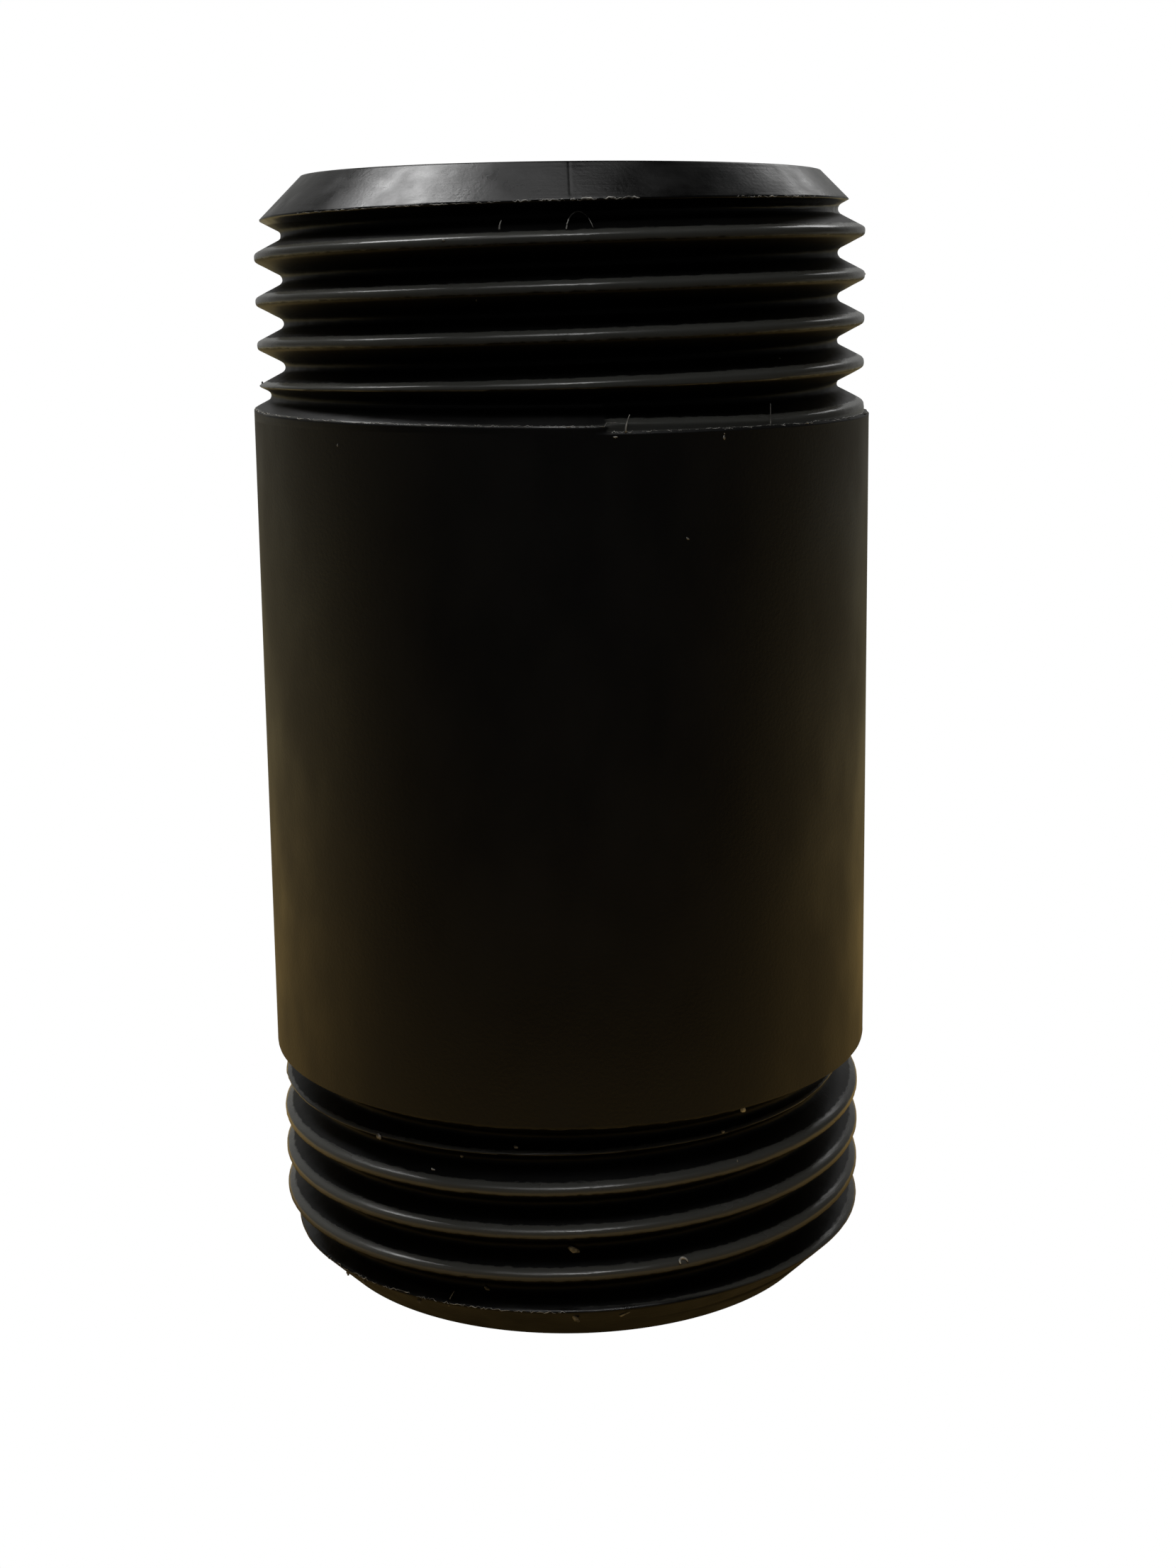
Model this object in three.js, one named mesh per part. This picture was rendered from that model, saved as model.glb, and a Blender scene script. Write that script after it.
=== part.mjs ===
// Barrel nipple for one-inch parallel pipe thread: a short plastic pipe with a plain middle, an external
// thread cut on each end and a bore right through. It is one piece, so it is one mesh.
// Millimetres, +Z along the bore. The origin is the centre of the lower end face.

import * as THREE from 'three';

// Pipe
const LENGTH = 60;
const BARREL_RADIUS = 16.73;
const BORE_RADIUS = 12;
const BORE_CHAMFER = 0.4;
const FACE_RADIUS = 13.95; // outer edge of each end face, where the lead chamfer starts

// Thread form: 55 degree parallel pipe thread, 11 turns to the inch
const PITCH = 25.4 / 11;
const CREST_RADIUS = 16.45;
const HALF_FLANK_ANGLE = THREE.MathUtils.degToRad(27.5);
const FORM_ROUNDING = 0.1373 * PITCH; // radius of both the crest and the root
const SHARP_DEPTH = PITCH / 2 / Math.tan(HALF_FLANK_ANGLE);
const THREAD_DEPTH = SHARP_DEPTH - 2 * FORM_ROUNDING * (1 / Math.sin(HALF_FLANK_ANGLE) - 1);
const ROOT_RADIUS = CREST_RADIUS - THREAD_DEPTH;

// Each threaded end, measured inwards from its own end face. The tool cuts inwards along the helix to
// stopDepth, reaches it at stopAngle, then lifts out by liftPerTurn as the pipe keeps turning. The pipe
// is first turned down to the crest radius as far as shoulderDepth, all round or only between
// shoulderFrom and shoulderTo. Beyond that sector the barrel runs up to the lip of the last groove.
const LOWER_END = {
  face: 0,
  inwards: 1,
  stopDepth: 11.27,
  stopAngle: 108,
  liftPerTurn: 0,
  shoulderDepth: 12.35,
  shoulderFrom: 0,
  shoulderTo: 360,
};
const UPPER_END = {
  face: LENGTH,
  inwards: -1,
  stopDepth: 11.52,
  stopAngle: 311.4,
  liftPerTurn: 2.31,
  shoulderDepth: 12.8,
  shoulderFrom: 277,
  shoulderTo: 414,
};

// Mesh
const SEGMENTS = 48;
const ROWS_PER_PITCH = 7;
const STEP_RISE = 0.08; // axial run of the small step up to the barrel

const turnsFraction = (turns) => turns - Math.floor(turns);

// Height of the groove's wall above its root, at an axial distance from the groove's centre line.
function grooveWall(distance) {
  const noseEdge = FORM_ROUNDING * Math.cos(HALF_FLANK_ANGLE);
  if (distance < noseEdge) {
    return FORM_ROUNDING - Math.sqrt(FORM_ROUNDING ** 2 - distance ** 2);
  }
  const noseHeight = FORM_ROUNDING * (1 - Math.sin(HALF_FLANK_ANGLE));
  return noseHeight + (distance - noseEdge) / Math.tan(HALF_FLANK_ANGLE);
}

// The same wall where the next turn follows: it rounds over into the crest half a pitch away.
function threadWall(distance) {
  const crestDistance = PITCH / 2 - distance;
  if (crestDistance < 0) {
    return Infinity;
  }
  if (crestDistance < FORM_ROUNDING * Math.cos(HALF_FLANK_ANGLE)) {
    return THREAD_DEPTH - FORM_ROUNDING + Math.sqrt(FORM_ROUNDING ** 2 - crestDistance ** 2);
  }
  return grooveWall(distance);
}

// Radius left by the helical groove. Going inwards, its turns sit a pitch apart up to stopDepth.
function helixRadius(end, depth, turns) {
  const turnsBeforeStop = turnsFraction(end.inwards * (end.stopAngle / 360 - turns));
  const lastTurn = end.stopDepth - PITCH * turnsBeforeStop;
  const pitchesBack = Math.max(0, Math.round((lastTurn - depth) / PITCH));
  return ROOT_RADIUS + threadWall(Math.abs(depth - lastTurn + pitchesBack * PITCH));
}

// Radius left by the tool after the feed stops: a level groove that gets shallower as the tool lifts.
function runOutRadius(end, depth, turns) {
  const turnsAfterStop = turnsFraction(end.inwards * (turns - end.stopAngle / 360));
  return ROOT_RADIUS + end.liftPerTurn * turnsAfterStop + grooveWall(Math.abs(depth - end.stopDepth));
}

// Radius of the pipe before the thread is cut: lead chamfer, turned-down length, then barrel.
function blankRadius(end, depth, turns) {
  const sector = (end.shoulderTo - end.shoulderFrom) / 360;
  const inSector = turnsFraction(turns - end.shoulderFrom / 360) <= sector;
  const turnedLength = inSector ? end.shoulderDepth : end.stopDepth;
  const turnedRadius = depth <= turnedLength ? CREST_RADIUS : BARREL_RADIUS;
  return Math.min(FACE_RADIUS + depth, turnedRadius);
}

function endRadius(end, z, turns) {
  const depth = end.inwards * (z - end.face);
  return Math.min(
    blankRadius(end, depth, turns),
    helixRadius(end, depth, turns),
    runOutRadius(end, depth, turns),
  );
}

function outerRadius(z, turns) {
  return endRadius(z < LENGTH / 2 ? LOWER_END : UPPER_END, z, turns);
}

// Depths, inwards from the end face, at which the mesh has a ring of vertices.
function ringDepths(end) {
  const spacing = PITCH / ROWS_PER_PITCH;
  const depths = [];
  for (let depth = 0; depth < end.shoulderDepth - spacing / 2; depth += spacing) {
    depths.push(depth);
  }
  depths.push(end.shoulderDepth, end.shoulderDepth + STEP_RISE);
  return depths;
}

// The turned pipe is a lathe of a closed outline: outside from bottom to top, then back down the bore.
// Its outer rings are then moved in to the radius that the chamfers and the two threads leave.
function nippleGeometry() {
  const lower = ringDepths(LOWER_END);
  const upper = ringDepths(UPPER_END).reverse();
  const outline = [
    ...lower.map((depth) => new THREE.Vector2(BARREL_RADIUS, depth)),
    ...upper.map((depth) => new THREE.Vector2(BARREL_RADIUS, LENGTH - depth)),
    new THREE.Vector2(BORE_RADIUS + BORE_CHAMFER, LENGTH),
    new THREE.Vector2(BORE_RADIUS, LENGTH - BORE_CHAMFER),
    new THREE.Vector2(BORE_RADIUS, BORE_CHAMFER),
    new THREE.Vector2(BORE_RADIUS + BORE_CHAMFER, 0),
    new THREE.Vector2(BARREL_RADIUS, 0),
  ];
  const geometry = new THREE.LatheGeometry(outline, SEGMENTS);
  geometry.rotateX(Math.PI / 2);

  const position = geometry.attributes.position;
  for (let i = 0; i < position.count; i += 1) {
    const x = position.getX(i);
    const y = position.getY(i);
    const z = position.getZ(i);
    const radius = Math.hypot(x, y);
    if (radius > FACE_RADIUS) {
      const turns = Math.round((Math.atan2(y, x) / (2 * Math.PI)) * SEGMENTS) / SEGMENTS;
      const scale = outerRadius(z, turns) / radius;
      position.setXY(i, x * scale, y * scale);
    }
  }
  geometry.computeVertexNormals();
  return geometry;
}

function nippleBody() {
  const blackPlastic = new THREE.MeshStandardMaterial({ color: 0x161615, roughness: 0.5, metalness: 0 });
  const mesh = new THREE.Mesh(nippleGeometry(), blackPlastic);
  mesh.name = 'nipple_body';
  return mesh;
}

const nipple = new THREE.Group();
nipple.add(nippleBody());

export default nipple;
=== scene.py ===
"""Looks of a black plastic barrel nipple: the turned, threaded and burred surface, on a pale studio floor."""

import math

import bmesh
import bpy
import numpy as np
from mathutils import Matrix, Vector


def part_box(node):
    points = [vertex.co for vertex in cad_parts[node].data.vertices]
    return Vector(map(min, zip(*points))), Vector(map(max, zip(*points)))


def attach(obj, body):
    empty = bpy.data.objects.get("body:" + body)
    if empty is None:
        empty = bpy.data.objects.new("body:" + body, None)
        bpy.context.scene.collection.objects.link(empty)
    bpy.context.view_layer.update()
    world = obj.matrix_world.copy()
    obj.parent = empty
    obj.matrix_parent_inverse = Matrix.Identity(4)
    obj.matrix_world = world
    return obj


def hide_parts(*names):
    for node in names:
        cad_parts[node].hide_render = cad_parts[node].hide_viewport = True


MM = 0.001

# ---------------------------------------------------------------------------------------- the frame

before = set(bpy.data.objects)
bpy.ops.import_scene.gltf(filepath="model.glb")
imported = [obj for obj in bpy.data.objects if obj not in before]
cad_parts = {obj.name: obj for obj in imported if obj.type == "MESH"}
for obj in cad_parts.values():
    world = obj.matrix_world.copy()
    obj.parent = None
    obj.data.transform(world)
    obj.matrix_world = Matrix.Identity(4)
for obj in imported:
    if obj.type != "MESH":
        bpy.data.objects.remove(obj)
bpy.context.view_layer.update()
body_low, body_high = (Vector(corner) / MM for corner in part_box("nipple_body"))

# ------------------------------------------------------------------------------ sizes, millimetres

LENGTH = body_high.z - body_low.z
BURR_HEIGHT = 0.015
BARREL_RADIUS = (body_high.x - body_low.x) / 2 - BURR_HEIGHT
BORE_RADIUS = 12.0
BORE_CHAMFER = 0.4
FACE_RADIUS = 13.95

# Thread form: 55 degree parallel pipe thread, 11 turns to the inch
PITCH = 25.4 / 11
CREST_RADIUS = 16.45
HALF_FLANK = math.radians(27.5)
FORM_ROUNDING = 0.1373 * PITCH
NOSE_EDGE = FORM_ROUNDING * math.cos(HALF_FLANK)
SHARP_DEPTH = PITCH / 2 / math.tan(HALF_FLANK)
THREAD_DEPTH = SHARP_DEPTH - 2 * FORM_ROUNDING * (1 / math.sin(HALF_FLANK) - 1)
ROOT_RADIUS = CREST_RADIUS - THREAD_DEPTH
EDGE_ROUNDING = 0.07

# Each end, measured inwards from its face. The tool stops feeding at stop_depth and stop_angle, then
# lifts by lift_per_turn. The shoulder is the step up to the barrel, from one angle to the other.
# The chamfer was cut off_centre, towards +x.
LOWER_END = dict(face=0.0, inwards=1, stop_depth=11.27, stop_angle=108, lift_per_turn=0.0,
                 shoulder_depth=12.35, shoulder_from=0, shoulder_to=360, off_centre=0.0)
UPPER_END = dict(face=LENGTH, inwards=-1, stop_depth=11.52, stop_angle=311.4, lift_per_turn=2.31,
                 shoulder_depth=12.8, shoulder_from=277, shoulder_to=414, off_centre=0.11)

# How uneven the cut is: the shoulder's edge, the burr just past it and the tool's chatter
SHOULDER_WANDER = 0.02
BURR_WIDTH = 0.12
CHATTER = 0.012

# Score across the upper chamfer, and the dip beside it at the rim
SCORE_ANGLE = 272.0
SCORE_WIDTH = 0.06
SCORE_DEPTH = 0.03
SCORE_LENGTH = 1.5
SCORE_FADE = 0.2
DIP_BESIDE = 0.35
DIP_WIDTH = 0.45
DIP_HEIGHT = 0.25
DIP_SHARE = 0.6

# Mesh: even columns, with finer ones across the score, over a span in degrees about it. Rows lie ROW
# apart over the threads and PAST_SHOULDER beyond them; the barrel, each end face and the bore have a
# number of rows of their own.
COLUMNS = 216
SCORE_SPAN = (-1.6, 3.2)
SCORE_COLUMNS = 25
ROW = 0.072
PAST_SHOULDER = 0.4
BARREL_ROWS = 20
FACE_ROWS = 5
BORE_ROWS = 24

# --------------------------------------------------------------------- the cut surface, as a radius


def fraction(turns):
    """The part of a turn beyond the last whole one."""
    return turns - np.floor(turns)


def soft_min(a, b, rounding):
    """The smaller of two radii, with the corner where they cross rounded over."""
    nearness = np.maximum(rounding - np.abs(a - b), 0) / rounding
    return np.minimum(a, b) - nearness**2 * rounding / 4


def ripple(turns, z, seed, waves, longest, shortest):
    """A smooth random field on the cylinder, about -1 to 1, from waves of the given lengths."""
    draw = np.random.default_rng(seed)
    field = np.zeros(np.broadcast(turns, z).shape)
    for _ in range(waves):
        length = math.exp(draw.uniform(math.log(shortest), math.log(longest)))
        heading = draw.uniform(0, math.pi)
        around = round(2 * math.pi * CREST_RADIUS / length * math.cos(heading))
        along = 2 * math.pi / length * math.sin(heading)
        phase = draw.uniform(0, 2 * math.pi)
        field += np.sin(2 * math.pi * around * turns + along * z + phase)
    return field / math.sqrt(waves)


def groove_wall(distance):
    """Height of the groove's wall above its root, at an axial distance from the groove's centre."""
    nose = FORM_ROUNDING - np.sqrt(np.maximum(FORM_ROUNDING**2 - distance**2, 0))
    flank = FORM_ROUNDING * (1 - math.sin(HALF_FLANK)) + (distance - NOSE_EDGE) / math.tan(HALF_FLANK)
    return np.where(distance < NOSE_EDGE, nose, flank)


def thread_wall(distance):
    """The same wall where the next turn follows: it rounds over into the crest half a pitch away."""
    to_crest = PITCH / 2 - distance
    crest = THREAD_DEPTH - FORM_ROUNDING + np.sqrt(np.maximum(FORM_ROUNDING**2 - to_crest**2, 0))
    wall = np.where(to_crest < NOSE_EDGE, crest, groove_wall(distance))
    return np.where(to_crest < 0, 2 * THREAD_DEPTH, wall)


def helix_radius(end, depth, turns):
    """The helical groove's surface, whose last turn ends at the stop."""
    before_stop = fraction(end["inwards"] * (end["stop_angle"] / 360 - turns))
    last_turn = end["stop_depth"] - PITCH * before_stop
    turns_back = np.maximum(0, np.round((last_turn - depth) / PITCH))
    return ROOT_RADIUS + thread_wall(np.abs(depth - last_turn + turns_back * PITCH))


def run_out_radius(end, depth, turns):
    """The level groove that the tool leaves after it stops feeding, getting shallower as it lifts."""
    after_stop = fraction(end["inwards"] * (turns - end["stop_angle"] / 360))
    lift = end["lift_per_turn"] * after_stop
    return ROOT_RADIUS + lift + groove_wall(np.abs(depth - end["stop_depth"]))


def blank_radius(end, depth, turns):
    """The pipe before threading: lead chamfer, length turned down to the crests, then the barrel."""
    sector = (end["shoulder_to"] - end["shoulder_from"]) / 360
    in_sector = fraction(turns - end["shoulder_from"] / 360) <= sector
    ragged = SHOULDER_WANDER * ripple(turns, 0.0, seed=3, waves=14, longest=3.0, shortest=0.5)
    turned = np.where(in_sector, end["shoulder_depth"] + ragged, end["stop_depth"])
    torn = np.clip(ripple(turns, 0.0, seed=5, waves=16, longest=4.0, shortest=0.6), 0, 1)
    beyond = (depth - turned) / BURR_WIDTH
    burr = BURR_HEIGHT * torn * np.exp(-beyond**2)
    radius = np.where(depth <= turned, CREST_RADIUS, BARREL_RADIUS + burr)
    rim = FACE_RADIUS + end["off_centre"] * np.cos(2 * math.pi * turns)
    return soft_min(rim + depth, radius, EDGE_ROUNDING)


def score_depth(depth, turns):
    """A knife mark down the upper chamfer, with a shallow dip beside it at the rim."""
    across = (fraction(turns) * 360 - SCORE_ANGLE) * math.radians(1) * FACE_RADIUS
    past_end = np.maximum(depth - SCORE_LENGTH, 0) / SCORE_FADE
    line = np.exp(-(across / SCORE_WIDTH) ** 2) * np.exp(-past_end**2)
    dip = DIP_SHARE * np.exp(-((across - DIP_BESIDE) / DIP_WIDTH) ** 2 - (depth / DIP_HEIGHT) ** 2)
    return SCORE_DEPTH * (line + dip)


def outer_surface(z, turns):
    """The finished radius, how far it is cut below the blank, and how far the blank is below the crests."""
    lower = z < LENGTH / 2
    radius = np.zeros(np.broadcast(z, turns).shape)
    sunk = np.zeros_like(radius)
    bevel = np.zeros_like(radius)
    chatter = CHATTER * ripple(turns, z, seed=7, waves=30, longest=2.5, shortest=0.35)
    for end, here in ((LOWER_END, lower), (UPPER_END, ~lower)):
        depth = end["inwards"] * (z - end["face"])
        cut = soft_min(helix_radius(end, depth, turns), run_out_radius(end, depth, turns), EDGE_ROUNDING)
        blank = blank_radius(end, depth, turns)
        left = soft_min(blank, cut + chatter, EDGE_ROUNDING)
        if end is UPPER_END:
            left = left - score_depth(depth, turns)
        radius = np.where(here, left, radius)
        sunk = np.where(here, blank - left, sunk)
        bevel = np.where(here, CREST_RADIUS - blank, bevel)
    return radius, sunk, bevel


def part_way(value, start, stop):
    """How far a value has gone from start to stop, kept to 0 to 1; start may be the larger."""
    return np.clip((value - start) / (stop - start), 0, 1)


def worn_and_lit(z, turns):
    """How far the surface is painted grey, 0 to 1: crests, narrow ridges and the barrel's cut edge. It is
    partly handling wear and partly painted light on the sides that face up.
    """
    step, beside_by = 0.02, 0.22
    radius, sunk, bevel = outer_surface(z, turns)
    slope = (outer_surface(z + step, turns)[0] - radius) / step
    beside = (outer_surface(z - beside_by, turns)[0] + outer_surface(z + beside_by, turns)[0]) / 2
    crest = part_way(sunk, 0.5, 0.34)
    ridge = part_way(radius - beside, 0.12, 0.22)
    # Painted light: the grey is kept to sides that face up, where the overhead light falls
    facing_up = part_way(slope, 0.55, 0)
    # A thin grey line along the barrel's cut edge: partly wear, partly a painted highlight
    barrel_edge = part_way(sunk, 0, 0.015) * part_way(sunk, 0.12, 0.08)
    on_barrel = bevel < -0.1
    return np.maximum(crest, ridge) * facing_up * np.where(on_barrel, barrel_edge, 1)


# --------------------------------------------------------------------------------- the body's mesh

# The body's material slots, in the order in which build_body fills them
SKIN, CUT, INSIDE = range(3)


def column_turns():
    """Angles of the mesh's columns, in turns: even, with more of them across the score."""
    even = np.arange(COLUMNS) / COLUMNS
    fine = (SCORE_ANGLE + np.linspace(*SCORE_SPAN, SCORE_COLUMNS)) / 360
    clear = 0.001
    outside = (even < fine[0] - clear) | (even > fine[-1] + clear)
    return np.sort(np.concatenate([even[outside], fine]))


def outer_rows():
    """Heights of the rows up the outside: close together over the threads and wide over the barrel."""
    ends = []
    for end in (LOWER_END, UPPER_END):
        threaded = end["shoulder_depth"] + PAST_SHOULDER
        ends.append(np.linspace(0, threaded, round(threaded / ROW)))
    lower, upper = ends[0], LENGTH - ends[1][::-1]
    barrel = np.linspace(lower[-1], upper[0], BARREL_ROWS)[1:-1]
    return np.concatenate([lower, barrel, upper])


def ring_stack(turns):
    """Radius and height of every ring, round the closed outline: outside, top, bore, bottom."""
    outside = outer_rows()
    rim_in = BORE_RADIUS + BORE_CHAMFER
    rings = [(outer_surface(np.full_like(turns, z), turns)[0], z) for z in outside]
    top_rim, bottom_rim = rings[-1][0], rings[0][0]
    even = np.ones_like(turns)
    steps = np.linspace(0, 1, FACE_ROWS + 2)[1:-1]
    top = [(top_rim + (rim_in - top_rim) * s, LENGTH) for s in steps]
    bore_z = np.concatenate([[LENGTH - BORE_CHAMFER], np.linspace(LENGTH - 1, 1, BORE_ROWS), [BORE_CHAMFER]])
    bore = [(BORE_RADIUS * even, z) for z in bore_z]
    bottom = [(rim_in + (bottom_rim - rim_in) * s, 0.0) for s in steps]
    rings += top + [(rim_in * even, LENGTH)] + bore + [(rim_in * even, 0.0)] + bottom
    return rings, len(outside)


def face_zones(rings, outside_count):
    """Material of each band of faces: the pipe's own skin, cut and chamfered, or end faces and bore."""
    zones = []
    for i, (_, z) in enumerate(rings):
        on_barrel = LOWER_END["shoulder_depth"] <= z <= LENGTH - UPPER_END["shoulder_depth"]
        outside = SKIN if on_barrel else CUT
        zones.append(outside if i < outside_count - 1 else INSIDE)
    return zones


def build_body():
    """The fine surface: rings of points joined into one closed skin, with two attributes for its looks."""
    turns = column_turns()
    rings, outside_count = ring_stack(turns)
    angle = 2 * math.pi * turns
    points = np.stack([
        np.stack([r * np.cos(angle), r * np.sin(angle), np.full_like(angle, z)], axis=-1)
        for r, z in rings
    ])
    rows, columns = points.shape[:2]
    index = np.arange(rows * columns).reshape(rows, columns)
    right = np.roll(index, -1, axis=1)
    up, up_right = np.roll(index, -1, axis=0), np.roll(right, -1, axis=0)
    quads = np.stack([index, right, up_right, up], axis=-1).reshape(-1, 4)

    mesh = bpy.data.meshes.new("nipple")
    mesh.from_pydata((points.reshape(-1, 3) * MM).tolist(), [], quads.tolist())
    heights = [np.full_like(turns, z) for _, z in rings[:outside_count]]
    inside = [np.zeros_like(turns)] * (rows - outside_count)
    fields = {"worn_and_lit": [worn_and_lit(z, turns) for z in heights],
              "bevel": [outer_surface(z, turns)[2] for z in heights]}
    for name, values in fields.items():
        attribute = mesh.attributes.new(name, "FLOAT", "POINT")
        attribute.data.foreach_set("value", np.concatenate(values + inside).astype(np.float32))
    zones = np.repeat(face_zones(rings, outside_count), columns)
    mesh.polygons.foreach_set("material_index", zones.astype(np.int32))
    mesh.polygons.foreach_set("use_smooth", np.ones(len(quads), dtype=bool))
    mesh.validate()
    mesh.update()
    body = bpy.data.objects.new("nipple", mesh)
    bpy.context.scene.collection.objects.link(body)
    for material in (pipe_skin(), cut_plastic(), bore_plastic()):
        mesh.materials.append(material)
    return body


# ------------------------------------------------------------------------------------- materials


def colour_between(tree, factor, first, second):
    """A mix of two colours, each given as a tuple or as another node's output."""
    node = tree.nodes.new("ShaderNodeMix")
    node.data_type = "RGBA"
    for socket, colour in (("A", first), ("B", second)):
        if isinstance(colour, tuple):
            node.inputs[socket].default_value = (*colour, 1)
        else:
            tree.links.new(colour, node.inputs[socket])
    tree.links.new(factor, node.inputs["Factor"])
    return node.outputs["Result"]


class Nodes:
    """A material's node tree, with short calls for the nodes used here."""

    def __init__(self, name):
        self.material = bpy.data.materials.new(name)
        self.material.use_nodes = True
        self.tree = self.material.node_tree
        self.shader = self.tree.nodes["Principled BSDF"]
        self.place = self.add("ShaderNodeTexCoord").outputs["Object"]

    def add(self, kind, **settings):
        node = self.tree.nodes.new(kind)
        for key, value in settings.items():
            setattr(node, key, value)
        return node

    def link(self, source, target):
        self.tree.links.new(source, target)

    def stretched(self, scale):
        node = self.add("ShaderNodeMapping")
        node.inputs["Scale"].default_value = scale
        self.link(self.place, node.inputs["Vector"])
        return node.outputs["Vector"]

    def noise(self, scale, stretch=(1, 1, 1), detail=4, roughness=0.5):
        """Noise with its features about 1/scale metres across, before the stretch."""
        node = self.add("ShaderNodeTexNoise")
        node.inputs["Scale"].default_value = scale
        node.inputs["Detail"].default_value = detail
        node.inputs["Roughness"].default_value = roughness
        self.link(self.stretched(stretch), node.inputs["Vector"])
        return node.outputs["Fac"]

    def attribute(self, name):
        return self.add("ShaderNodeAttribute", attribute_name=name).outputs["Fac"]

    def total(self, first, second):
        node = self.add("ShaderNodeMath", operation="ADD")
        self.link(first, node.inputs[0])
        self.link(second, node.inputs[1])
        return node.outputs["Value"]

    def ramp(self, value, low, high, from_low=0.35, from_high=0.65):
        """From low to high while the value goes from from_low to from_high, and level beyond."""
        node = self.add("ShaderNodeMapRange")
        node.inputs["From Min"].default_value = from_low
        node.inputs["From Max"].default_value = from_high
        node.inputs["To Min"].default_value = low
        node.inputs["To Max"].default_value = high
        self.link(value, node.inputs["Value"])
        return node.outputs["Result"]

    def mix_values(self, factor, low, high):
        node = self.add("ShaderNodeMix", data_type="FLOAT")
        self.link(factor, node.inputs["Factor"])
        self.link(low, node.inputs["A"])
        self.link(high, node.inputs["B"])
        return node.outputs["Result"]

    def mix_colours(self, factor, first, second):
        return colour_between(self.tree, factor, first, second)

    def bump(self, height, distance, strength, under=None):
        """The surface's normal, disturbed by a height; distance is in metres."""
        node = self.add("ShaderNodeBump")
        node.inputs["Distance"].default_value = distance
        node.inputs["Strength"].default_value = strength
        self.link(height, node.inputs["Height"])
        if under:
            self.link(under, node.inputs["Normal"])
        return node.outputs["Normal"]

    def finish(self, colour, roughness, normal):
        self.link(colour, self.shader.inputs["Base Color"])
        self.link(roughness, self.shader.inputs["Roughness"])
        self.link(normal, self.shader.inputs["Normal"])
        self.shader.inputs["IOR"].default_value = PLASTIC_IOR
        return self.material


BLACK = (0.001, 0.001, 0.0009)
WORN_BLACK = (0.0024, 0.0023, 0.0021)
CHAMFERED = (0.005, 0.005, 0.0046)
# Grey of worn crests, made brighter as painted light where the overhead lamps fall on them
SCUFFED_AND_LIT = (0.08, 0.0805, 0.073)
SWARF_THICK = (0.1, 0.096, 0.086)
SWARF_THIN = (0.75, 0.73, 0.67)
PLASTIC_IOR = 1.5


def pipe_skin():
    """The extruded pipe's own surface: satin, very finely grained, with faint cloudy patches."""
    n = Nodes("pipe_skin")
    grain = n.noise(5200, detail=3)
    clouds = n.noise(260, (1, 1, 0.6), detail=3)
    drawn = n.noise(1500, (1, 1, 0.05), detail=2)
    normal = n.bump(grain, 0.00002, 0.55)
    normal = n.bump(drawn, 0.00001, 0.3, normal)
    colour = n.mix_colours(n.ramp(clouds, 0, 1), BLACK, WORN_BLACK)
    return n.finish(colour, n.ramp(clouds, 0.46, 0.56), normal)


def cut_plastic():
    """Threads and chamfers: black flanks, crests worn grey with painted light on their upper sides, and a
    brighter, mottled chamfer.
    """
    n = Nodes("cut_plastic")
    marks = n.noise(900, (0.03, 0.03, 9), detail=5, roughness=0.65)
    smears = n.noise(420, (0.5, 0.5, 2.2), detail=3)
    mottle = n.noise(700, (0.8, 0.8, 1.2), detail=2.5)
    speckle = n.noise(5200, detail=3)
    ragged = n.ramp(n.noise(5200, (0.4, 0.4, 1), detail=4), -0.16, 0.16)
    # Crest grey: handling wear, plus painted light on the sides that face up
    crest = n.ramp(n.total(n.attribute("worn_and_lit"), ragged), 0, 1, 0.25, 0.75)
    bevelled = n.ramp(n.attribute("bevel"), 0, 1, 0.05, 0.12)
    normal = n.bump(marks, 0.000012, 0.5)
    normal = n.bump(smears, 0.00003, 0.35, normal)
    normal = n.bump(mottle, 0.00003, 0.4, normal)
    normal = n.bump(speckle, 0.00002, 0.3, normal)
    plain = n.mix_colours(crest, BLACK, SCUFFED_AND_LIT)
    colour = n.mix_colours(bevelled, plain, n.mix_colours(n.ramp(mottle, 0, 1), BLACK, CHAMFERED))
    rough = n.mix_values(crest, n.ramp(smears, 0.42, 0.5), n.ramp(smears, 0.2, 0.28))
    rough = n.mix_values(bevelled, rough, n.ramp(mottle, 0.23, 0.39, 0.3, 0.7))

    # Crests, chamfer and the barrel's edge reflect fully, and the sides of the groove less
    on_barrel = n.ramp(n.attribute("bevel"), 1, 0, -0.2, -0.1)
    open_to_light = n.total(crest, n.total(bevelled, on_barrel))
    n.link(n.ramp(open_to_light, 0.2, 0.5, 0, 1), n.shader.inputs["Specular IOR Level"])
    return n.finish(colour, rough, normal)


def bore_plastic():
    """End faces and bore: sawn and reamed, so duller than the threads, with rings round the axis."""
    n = Nodes("bore_plastic")
    rings = n.noise(700, (0.05, 0.05, 5), detail=4, roughness=0.6)
    clouds = n.noise(300, detail=3)
    normal = n.bump(rings, 0.00002, 0.5)
    colour = n.mix_colours(n.ramp(clouds, 0, 1), BLACK, WORN_BLACK)
    return n.finish(colour, n.ramp(clouds, 0.42, 0.55), normal)


def swarf_plastic():
    """Torn slivers of the same plastic: paler where it is stretched thin."""
    n = Nodes("swarf_plastic")
    stretch = n.noise(2600, detail=3)
    normal = n.bump(stretch, 0.00002, 0.6)
    colour = n.mix_colours(n.ramp(stretch, 0, 1), SWARF_THICK, SWARF_THIN)
    return n.finish(colour, n.ramp(stretch, 0.4, 0.6), normal)


# ----------------------------------------------------------------------------- the body, in place

body = build_body()
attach(body, "root")
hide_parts("nipple_body")

# ---------------------------------------------------------------------------------- burrs and swarf

# The middle of every burr and crumb stays at least this far below the barrel's surface
KEPT_INSIDE = 0.02

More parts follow.
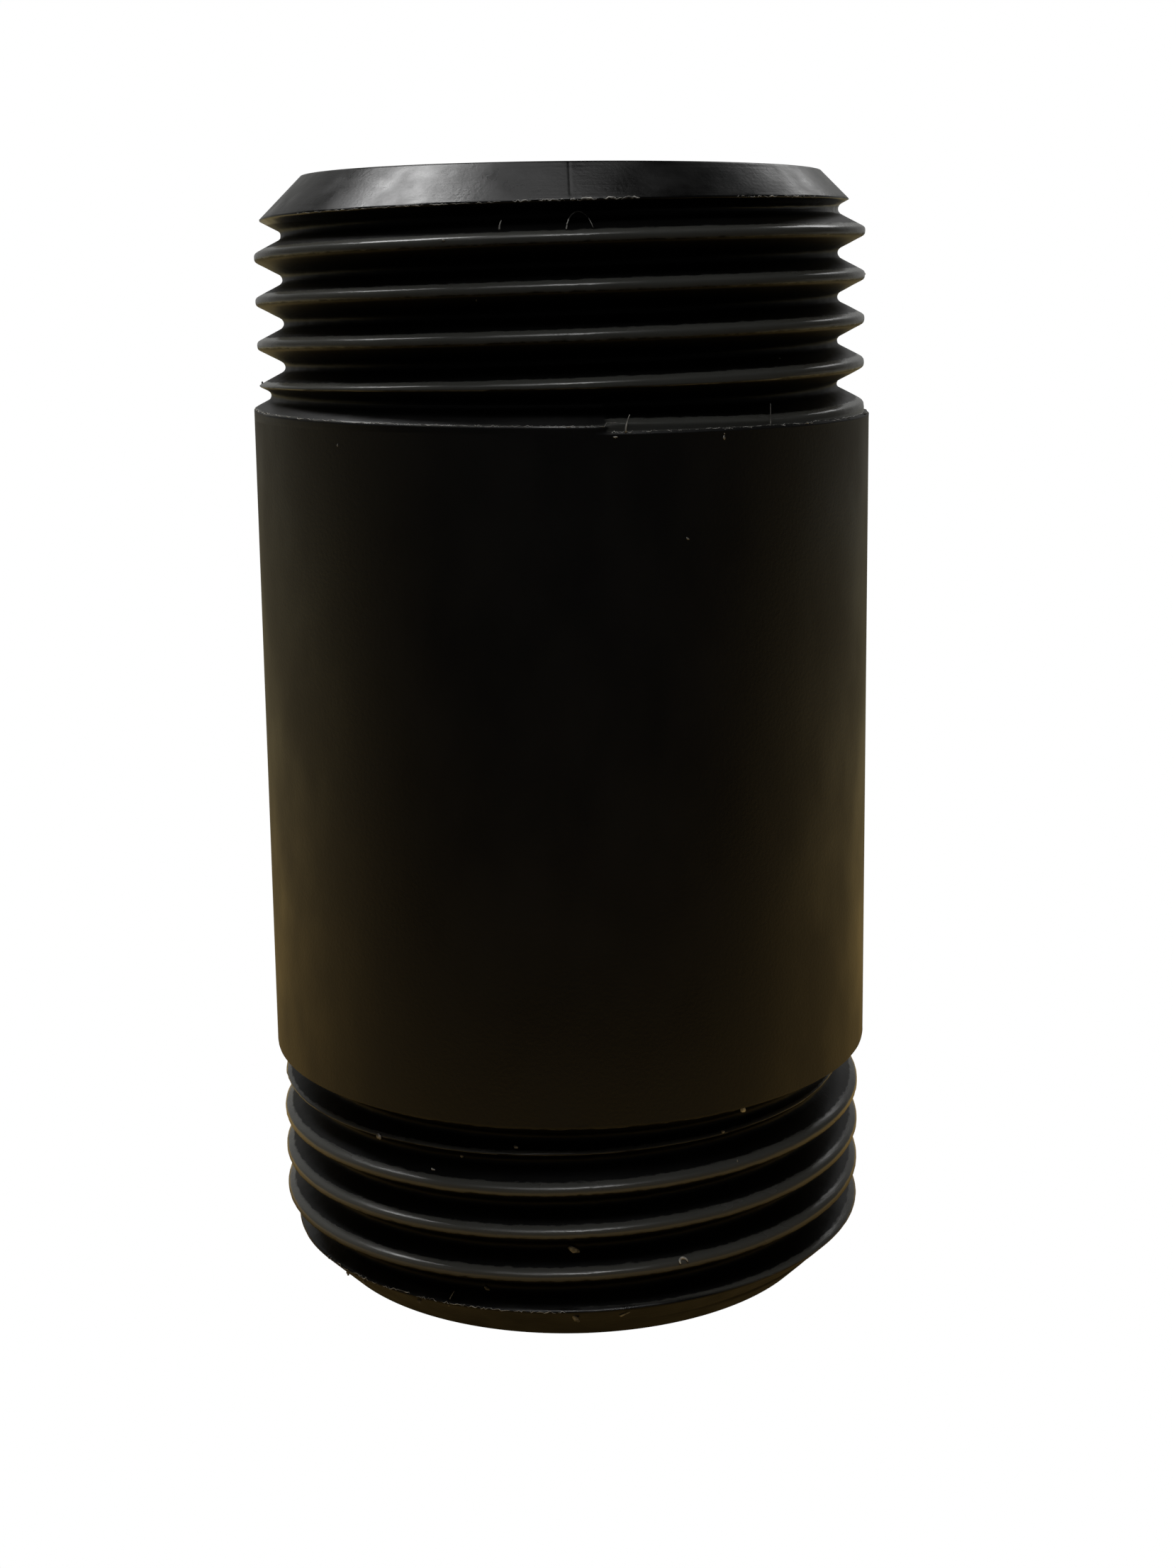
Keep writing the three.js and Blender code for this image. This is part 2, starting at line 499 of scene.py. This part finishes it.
# Heights between which each cut edge is looked for, and the height of the upper shoulder's step
UPPER_CHAMFER = (59.6, 57)
UPPER_SHOULDER = (47, 48.6)
LOWER_CHAMFER = (0.6, 3.2)
STEP_HEIGHT = 47.23

# A strand's section is flattened, and its tip keeps a share of the full thickness
STRAND_SIDES = 6
STRAND_FLATNESS = 0.6
TIP_SHARE = 0.25


def surface_point(angle, z, proud=0.0):
    """The point at an angle in degrees and a height, proud of the surface but never of the barrel."""
    turns = np.array([angle / 360])
    radius = min(float(outer_surface(np.array([z]), turns)[0][0]) + proud, BARREL_RADIUS - KEPT_INSIDE)
    a = math.radians(angle)
    return Vector((radius * math.cos(a), radius * math.sin(a), z))


def add_strand(mesh, points, thickness, both_ends=False):
    """A tapering closed strand through points, thickest at its foot, or in the middle."""
    points = [Vector(p) for p in points]
    rings = []
    for i, point in enumerate(points):
        ahead = points[min(i + 1, len(points) - 1)] - points[max(i - 1, 0)]
        outward = Vector((point.x, point.y, 0)).normalized()
        side = ahead.cross(outward).normalized()
        across = side.cross(ahead).normalized()
        along = i / (len(points) - 1)
        fullness = math.sin(math.pi * along) if both_ends else 1 - along
        radius = thickness / 2 * (TIP_SHARE + (1 - TIP_SHARE) * fullness)
        ring = []
        for k in range(STRAND_SIDES):
            a = 2 * math.pi * k / STRAND_SIDES
            offset = side * math.cos(a) + across * math.sin(a) * STRAND_FLATNESS
            ring.append(mesh.verts.new((point + offset * radius) * MM))
        rings.append(ring)
    for near, far in zip(rings, rings[1:]):
        for k in range(STRAND_SIDES):
            after = (k + 1) % STRAND_SIDES
            mesh.faces.new((near[k], near[after], far[after], far[k]))
    mesh.faces.new(rings[0][::-1])
    mesh.faces.new(rings[-1])


def add_chip(mesh, angle, z, size, draw):
    """An irregular crumb of plastic, flattened against the surface."""
    centre = surface_point(angle, z, size * 0.12)
    outward = Vector((centre.x, centre.y, 0)).normalized()
    along = Vector((0, 0, 1)).lerp(outward.cross(Vector((0, 0, 1))), draw.uniform(0, 1)).normalized()
    across = outward.cross(along)
    made = bmesh.ops.create_icosphere(mesh, subdivisions=2, radius=1)
    length = draw.uniform(0.5, 0.7)
    width = draw.uniform(0.28, 0.45)
    thickness = 0.3
    for vertex in made["verts"]:
        lump = 1 + 0.22 * math.sin(5 * vertex.co.x + 3 * vertex.co.y + draw.uniform(-0.5, 0.5))
        local = vertex.co * lump * size
        offset = along * local.x * length + across * local.y * width + outward * local.z * thickness
        vertex.co = (centre + offset) * MM


def finish_piece(mesh, name, material):
    """Turn a bmesh of burrs or swarf into a smooth piece that rides on the nipple."""
    bmesh.ops.recalc_face_normals(mesh, faces=mesh.faces)
    data = bpy.data.meshes.new(name)
    mesh.to_mesh(data)
    mesh.free()
    data.polygons.foreach_set("use_smooth", np.ones(len(data.polygons), dtype=bool))
    data.materials.append(material)
    piece = bpy.data.objects.new(name, data)
    bpy.context.scene.collection.objects.link(piece)
    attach(piece, "root")


def hair(angle, z, rise, drift, bend):
    """Points of a hair burr from its foot on the surface: up by rise, round by drift and in by bend."""
    foot = surface_point(angle, z)
    points = []
    for t in np.linspace(0, 1, 7):
        inwards = foot * (1 - bend * t * t / BARREL_RADIUS)
        inwards.z = z + rise * t
        points.append(Matrix.Rotation(math.radians(drift * t * t), 3, "Z") @ inwards)
    return points


def loop_burr(angle, z, width, height):
    """Points of a thread of plastic that springs off a crest and arches back to it."""
    points = []
    for t in np.linspace(0, 1, 11):
        a = math.pi * (0.05 + 0.9 * t)
        here = angle - width / 2 * math.cos(a)
        points.append(surface_point(here, z, 0.05).lerp(surface_point(here, z + height, 0.0), math.sin(a)))
    return points


def cut_edge(angle, span):
    """The first height in a span where the thread cuts into the blank at an angle."""
    heights = np.linspace(*span, 300)
    sunk = outer_surface(heights, np.array([angle / 360]))[1]
    return heights[np.argmax(sunk > 0.05)]


def shred_edge(mesh, first, last, edge, thickness, wander, draw):
    """Ragged slivers along an edge, end to end with gaps, between two angles; edge(angle) is its height."""
    angle = first
    while angle < last:
        sweep = draw.uniform(0.8, 4.0)
        points = []
        for t in np.linspace(0, 1, 8):
            here = angle + sweep * t
            height = edge(here) + wander * draw.uniform(-1, 1)
            points.append(surface_point(here, height, draw.uniform(-0.02, 0.03)))
        add_strand(mesh, points, thickness * draw.uniform(0.4, 1), both_ends=True)
        angle += sweep * draw.uniform(0.7, 1.4)


def build_burrs():
    """Hairs left standing at the upper end, and the shredded edges of chamfers and shoulder."""
    mesh = bmesh.new()
    add_strand(mesh, hair(259.6, 56.75, rise=0.45, drift=0.3, bend=0.1), 0.12)
    add_strand(mesh, loop_burr(273.4, 56.6, width=4.6, height=1.0), 0.07)
    add_strand(mesh, hair(280.4, 47.2, rise=0.85, drift=0.8, bend=0.12), 0.1)
    add_strand(mesh, hair(308.6, 47.2, rise=1.1, drift=0.3, bend=0.1), 0.08)
    add_strand(mesh, hair(298.0, 46.95, rise=0.35, drift=0.6, bend=0.08), 0.1)
    draw = np.random.default_rng(21)
    shred_edge(mesh, 262, 285, lambda angle: cut_edge(angle, UPPER_CHAMFER) + 0.04, 0.14, 0.05, draw)
    shred_edge(mesh, 215, 258, lambda angle: cut_edge(angle, UPPER_CHAMFER) + 0.02, 0.06, 0.03, draw)
    shred_edge(mesh, 277, 352, lambda angle: STEP_HEIGHT, 0.07, 0.04, draw)
    shred_edge(mesh, 188, 276, lambda angle: cut_edge(angle, UPPER_SHOULDER), 0.06, 0.04, draw)
    shred_edge(mesh, 212, 268, lambda angle: cut_edge(angle, LOWER_CHAMFER), 0.07, 0.04, draw)
    shred_edge(mesh, 303, 324, lambda angle: cut_edge(angle, UPPER_CHAMFER) + 0.03, 0.09, 0.06, draw)
    finish_piece(mesh, "edge_burrs", swarf_plastic())


# Crumbs of swarf: angle in degrees, height and size in millimetres
CRUMBS = [
    (231.0, 10.5, 0.30), (259.2, 10.85, 0.22), (269.9, 5.2, 0.55), (302.4, 12.2, 0.38),
    (300.2, 10.8, 0.20), (270.1, 1.75, 0.45), (223.9, 1.65, 0.30), (217.8, 1.55, 0.25),
    (238.7, 1.75, 0.30), (252.4, 2.8, 0.30), (228.3, 46.5, 0.16), (278.6, 47.0, 0.18),
    (297.9, 46.8, 0.18), (291.0, 42.0, 0.16),
]


def build_swarf():
    """Crumbs and curls that the threading tool left on the threads, and a few on the barrel."""
    mesh = bmesh.new()
    draw = np.random.default_rng(33)
    for angle, z, size in CRUMBS:
        add_chip(mesh, angle, z, size, draw)
    for count, lowest, highest, largest in ((12, 1, 11, 0.25), (14, 48.5, 58, 0.18)):
        for _ in range(count):
            angle, z = draw.uniform(0, 360), draw.uniform(lowest, highest)
            add_chip(mesh, angle, z, draw.uniform(0.08, largest), draw)
    curl = [surface_point(290.1 + 0.75 * math.cos(a), 4.6 + 0.12 * math.sin(a), 0.12)
            for a in np.linspace(-0.2, math.pi + 0.5, 10)]
    sliver = [surface_point(278.6 + t * 1.6, 1.7 + 0.35 * t, 0.06) for t in (0, 0.3, 0.7, 1)]
    add_strand(mesh, curl, 0.17, both_ends=True)
    add_strand(mesh, sliver, 0.14)
    add_strand(mesh, hair(245.6, 1.9, rise=0.8, drift=1.0, bend=0.15), 0.09)
    finish_piece(mesh, "swarf", swarf_plastic())


build_burrs()
build_swarf()

# ---------------------------------------------------------------------- floor, backdrop and lights

CENTRE = Vector((0, 0, LENGTH / 2)) * MM
LAMP_DISTANCE = 0.6

# The bench that the part sees, in metres. Each edge fades in from its first value to its second, and a
# round patch of bench always lies under the part. The contact shade goes from no light close to the axis
# to full light further out. The last three are where one colour changes to the next.
BENCH_RIGHT = (0.24, 0.16)
BENCH_LEFT = (-0.36, -0.26)
BENCH_FRONT = (-0.055, 0.005)
BENCH_BACK = (0.5, 0.35)
PATCH = (0.055, 0.035)
CONTACT_SHADE = (0.0075, 0.04)
WOOD_TO_BEHIND = (0.0, 0.1)
WOOD_TO_FAR_OFF = (0.05, 0.17)
GROUND_TO_BEHIND = (0.0, 0.2)

# Colours of the light that the floor and the room send to the part
WOOD_IN_FRONT = (0.5, 0.33, 0.115)
WOOD_BEHIND = (1.0, 0.68, 0.23)
WOOD_FAR_OFF = (0.44, 0.37, 0.2)
GROUND_IN_FRONT = (0.02, 0.02, 0.02)
GROUND_BEHIND = (0.24, 0.24, 0.22)
WALLS = (0.03, 0.03, 0.03)
WALL_BEHIND = (0.36, 0.36, 0.35)


def two_ways(tree, seen, unseen):
    """A shader that the camera sees as one thing and reflections as another, for stage pieces only."""
    path = tree.nodes.new("ShaderNodeLightPath")
    mix = tree.nodes.new("ShaderNodeMixShader")
    tree.links.new(path.outputs["Is Camera Ray"], mix.inputs["Fac"])
    tree.links.new(unseen, mix.inputs[1])
    tree.links.new(seen, mix.inputs[2])
    return mix.outputs["Shader"]


def fade(tree, value, none, full):
    """A smooth step of a value, 0 at one bound and 1 at the other."""
    node = tree.nodes.new("ShaderNodeMapRange")
    node.interpolation_type = "SMOOTHSTEP"
    low, high = min(none, full), max(none, full)
    node.inputs["From Min"].default_value = low
    node.inputs["From Max"].default_value = high
    node.inputs["To Min"].default_value = 0.0 if none < full else 1.0
    node.inputs["To Max"].default_value = 1.0 if none < full else 0.0
    tree.links.new(value, node.inputs["Value"])
    return node.outputs["Result"]


def times(tree, first, second):
    """The product of two values."""
    node = tree.nodes.new("ShaderNodeMath")
    node.operation = "MULTIPLY"
    tree.links.new(first, node.inputs[0])
    tree.links.new(second, node.inputs[1])
    return node.outputs["Value"]


def pale_floor():
    """White to the camera; to the part it glows as a warm wooden bench, its front edge close, on dark ground,
    with a painted contact shadow under the part.
    """
    material = bpy.data.materials.new("floor")
    material.use_nodes = True
    tree = material.node_tree
    tree.nodes.clear()
    glow = tree.nodes.new("ShaderNodeEmission")
    glow.inputs["Color"].default_value = (1, 1, 1, 1)
    place = tree.nodes.new("ShaderNodeTexCoord").outputs["Object"]
    axes = tree.nodes.new("ShaderNodeSeparateXYZ")
    reach = tree.nodes.new("ShaderNodeVectorMath")
    reach.operation = "LENGTH"
    tree.links.new(place, axes.inputs["Vector"])
    tree.links.new(place, reach.inputs[0])
    x, y, off = axes.outputs["X"], axes.outputs["Y"], reach.outputs["Value"]

    across = times(tree, fade(tree, x, *BENCH_RIGHT), fade(tree, x, *BENCH_LEFT))
    along = times(tree, fade(tree, y, *BENCH_FRONT), fade(tree, y, *BENCH_BACK))
    bench = tree.nodes.new("ShaderNodeMath")
    bench.operation = "MAXIMUM"
    tree.links.new(times(tree, across, along), bench.inputs[0])
    tree.links.new(fade(tree, off, *PATCH), bench.inputs[1])
    wood = colour_between(tree, fade(tree, y, *WOOD_TO_BEHIND), WOOD_IN_FRONT, WOOD_BEHIND)
    wood = colour_between(tree, fade(tree, off, *WOOD_TO_FAR_OFF), wood, WOOD_FAR_OFF)
    ground = colour_between(tree, fade(tree, y, *GROUND_TO_BEHIND), GROUND_IN_FRONT, GROUND_BEHIND)
    dull = tree.nodes.new("ShaderNodeEmission")
    tree.links.new(colour_between(tree, bench.outputs["Value"], ground, wood), dull.inputs["Color"])
    tree.links.new(fade(tree, off, *CONTACT_SHADE), dull.inputs["Strength"])
    out = tree.nodes.new("ShaderNodeOutputMaterial")
    tree.links.new(two_ways(tree, glow.outputs["Emission"], dull.outputs["Emission"]), out.inputs["Surface"])
    return material


def build_floor():
    """A square floor, six metres wide."""
    mesh = bpy.data.meshes.new("floor")
    half = 3.0
    corners = [(-half, -half, 0), (half, -half, 0), (half, half, 0), (-half, half, 0)]
    mesh.from_pydata(corners, [], [(0, 1, 2, 3)])
    mesh.materials.append(pale_floor())
    floor = bpy.data.objects.new("floor", mesh)
    bpy.context.scene.collection.objects.link(floor)


def build_world():
    """White to the camera; to the part it is a dim room with a brighter wall behind."""
    world = bpy.data.worlds.new("studio")
    world.use_nodes = True
    tree = world.node_tree
    tree.nodes.clear()
    white = tree.nodes.new("ShaderNodeBackground")
    white.inputs["Color"].default_value = (1, 1, 1, 1)
    direction = tree.nodes.new("ShaderNodeSeparateXYZ")
    tree.links.new(tree.nodes.new("ShaderNodeTexCoord").outputs["Generated"], direction.inputs["Vector"])
    behind = fade(tree, direction.outputs["Y"], 0.45, 1.0)
    room = tree.nodes.new("ShaderNodeBackground")
    walls = colour_between(tree, behind, WALLS, WALL_BEHIND)
    tree.links.new(walls, room.inputs["Color"])
    out = tree.nodes.new("ShaderNodeOutputWorld")
    shader = two_ways(tree, white.outputs["Background"], room.outputs["Background"])
    tree.links.new(shader, out.inputs["Surface"])
    bpy.context.scene.world = world


def softbox(name, direction, width, depth, radiance):
    """A soft panel that faces the part, given by its direction, its size and the brightness of its face."""
    light = bpy.data.lights.new(name, "AREA")
    light.shape = "RECTANGLE"
    light.size, light.size_y = width, depth
    light.energy = radiance * math.pi * width * depth
    lamp = bpy.data.objects.new(name, light)
    direction = Vector(direction).normalized()
    lamp.location = CENTRE + direction * LAMP_DISTANCE
    lamp.rotation_mode = "QUATERNION"
    lamp.rotation_quaternion = direction.to_track_quat("Z", "Y")
    lamp.visible_camera = False
    bpy.context.scene.collection.objects.link(lamp)


def build_lights():
    """A key lamp behind at the left, two lamps overhead in front and a window behind at the right."""
    softbox("key", (-0.45, 0.25, 0.86), width=0.16, depth=0.22, radiance=11)
    softbox("ceiling", (-0.12, -0.3, 0.95), width=0.26, depth=0.5, radiance=1.0)
    softbox("front", (0.03, -0.38, 0.92), width=0.11, depth=0.13, radiance=10)
    softbox("window", (0.43, 0.69, 0.59), width=0.16, depth=0.16, radiance=2.6)


def build_camera():
    """A phone close in front, a little below the upper face and tilted down, fitted to the photo."""
    data = bpy.data.cameras.new("camera")
    data.sensor_width = 36
    data.lens = 50.885
    data.shift_y = -0.0669
    data.clip_start = 0.005
    camera = bpy.data.objects.new("camera", data)
    distance, below_upper_face = 122.43, 5.81
    yaw, pitch, roll = 0.01017, 0.17633, -0.01211
    forward = Vector((math.sin(yaw) * math.cos(pitch), math.cos(yaw) * math.cos(pitch), -math.sin(pitch)))
    camera.location = Vector((0, -distance, LENGTH - below_upper_face)) * MM
    look = forward.to_track_quat("-Z", "Y").to_matrix()
    camera.rotation_mode = "QUATERNION"
    camera.rotation_quaternion = (look @ Matrix.Rotation(roll, 3, "Z")).to_quaternion()
    bpy.context.scene.collection.objects.link(camera)
    bpy.context.scene.camera = camera


build_floor()
build_world()
build_lights()
build_camera()
bpy.context.scene.view_settings.view_transform = "Standard"
